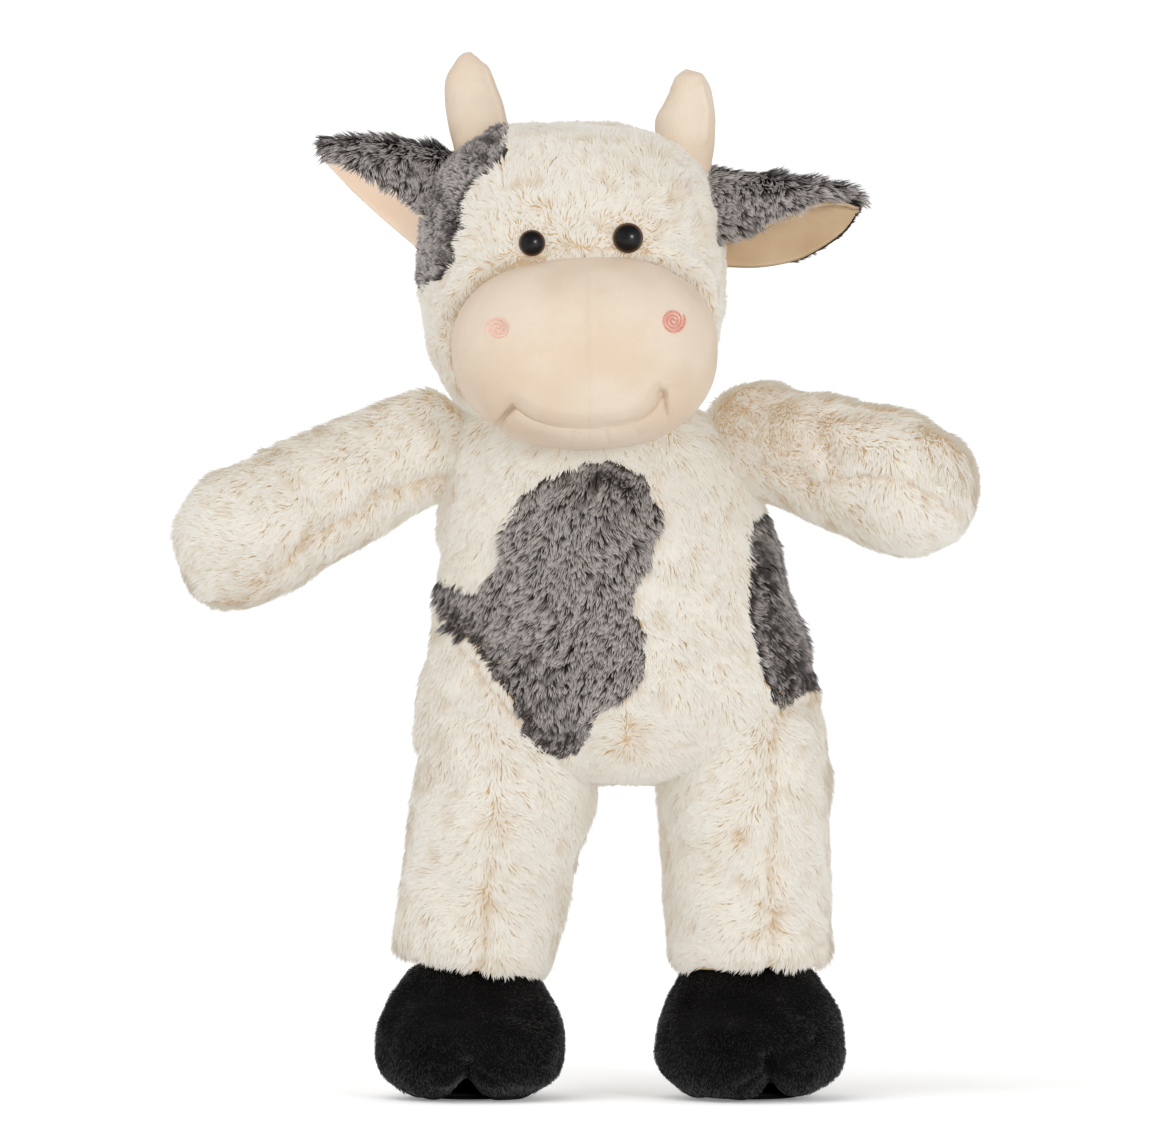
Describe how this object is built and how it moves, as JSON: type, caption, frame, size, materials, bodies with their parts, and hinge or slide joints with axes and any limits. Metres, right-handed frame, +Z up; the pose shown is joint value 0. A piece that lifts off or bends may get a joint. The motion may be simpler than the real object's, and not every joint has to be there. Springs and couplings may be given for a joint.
{
  "type": "plush cow",
  "caption": "Standing stuffed cow with long cream and dark patched pile, velour muzzle, horns and ears, and black hooves.",
  "frame": {"origin": "on the floor under the middle of the toy's bounding box", "axes": "+Z up, -Y the way the toy faces, +X towards the toy's own left"},
  "size_m": [0.3162, 0.1696, 0.4004],
  "materials": {
    "cream_pile": "long cream pile, beige at its roots",
    "grey_pile": "long dark pile with light grey tips",
    "velour": "short smooth peach velour",
    "hoof_velour": "short black pile",
    "embroidery": "salmon rayon thread, satin",
    "eye_gloss": "polished black",
    "washer_plastic": "natural moulded plastic",
    "fibre": "loose white polyester fibre"
  },
  "bodies": {
    "torso": {"body_cover": "cream_pile", "belly_patch": "grey_pile", "side_patch": "grey_pile", "body_stuffing": "fibre"},
    "head": {"head_cover": "cream_pile", "head_patch": "grey_pile", "head_stuffing": "fibre", "chin_panel": "velour", "muzzle_panel_left": "velour", "horn_left": "velour", "eye_left": "eye_gloss", "eye_washer_left": "washer_plastic", "nostril_swirl_left": "embroidery", "muzzle_panel_right": "velour", "horn_right": "velour", "eye_right": "eye_gloss", "eye_washer_right": "washer_plastic", "nostril_swirl_right": "embroidery"},
    "tail": {"tail_cord": "cream_pile", "tail_tuft": "grey_pile"},
    "left_ear": {"ear_back_left": "grey_pile", "ear_lining_left": "velour"},
    "left_arm": {"arm_cover_left": "cream_pile", "arm_stuffing_left": "fibre"},
    "left_leg": {"leg_cover_left": "cream_pile", "leg_stuffing_left": "fibre", "hoof_cover_left": "hoof_velour", "sole_left": "hoof_velour"},
    "right_ear": {"ear_back_right": "grey_pile", "ear_lining_right": "velour"},
    "right_arm": {"arm_cover_right": "cream_pile", "arm_stuffing_right": "fibre"},
    "right_leg": {"leg_cover_right": "cream_pile", "leg_stuffing_right": "fibre", "hoof_cover_right": "hoof_velour", "sole_right": "hoof_velour"}
  },
  "joints": [
    {"name": "neck_turn", "type": "hinge", "parent": "torso", "child": "head", "pos_m": [-0.00126, 0.00823, 0.249], "axis": [0, 0, 1], "range_deg": [-25, 25], "stiffness_Nm_per_rad": 0.1},
    {"name": "left_shoulder_lift", "type": "hinge", "parent": "torso", "child": "left_arm", "pos_m": [0.06972, 0.00921, 0.24897], "axis": [-0.6428, -0.766, 0], "range_deg": [-20, 35], "stiffness_Nm_per_rad": 0.35},
    {"name": "right_shoulder_lift", "type": "hinge", "parent": "torso", "child": "right_arm", "pos_m": [-0.05873, 0.01026, 0.24499], "axis": [-0.2419, 0.9703, 0], "range_deg": [-20, 35], "stiffness_Nm_per_rad": 0.35},
    {"name": "left_hip_swing", "type": "hinge", "parent": "torso", "child": "left_leg", "pos_m": [0.06372, 0.0142, 0.128], "axis": [-0.9993, 0, -0.038], "range_deg": [-15, 35], "stiffness_Nm_per_rad": 1.2},
    {"name": "right_hip_swing", "type": "hinge", "parent": "torso", "child": "right_leg", "pos_m": [-0.02571, 0.0142, 0.128], "axis": [-0.9835, 0, 0.181], "range_deg": [-15, 35], "stiffness_Nm_per_rad": 1.2},
    {"name": "left_ear_flap", "type": "hinge", "parent": "head", "child": "left_ear", "pos_m": [0.0537, 0.00823, 0.33796], "axis": [0.1318, 0.3319, -0.9341], "range_deg": [-20, 25], "stiffness_Nm_per_rad": 0.02},
    {"name": "right_ear_flap", "type": "hinge", "parent": "head", "child": "right_ear", "pos_m": [-0.05178, 0.01027, 0.34451], "axis": [0.4433, -0.3319, 0.8327], "range_deg": [-20, 25], "stiffness_Nm_per_rad": 0.02},
    {"name": "tail_swing", "type": "hinge", "parent": "torso", "child": "tail", "pos_m": [0.01527, 0.06605, 0.18226], "axis": [1, 0, 0], "range_deg": [0, 70], "stiffness_Nm_per_rad": 0.005}
  ]
}
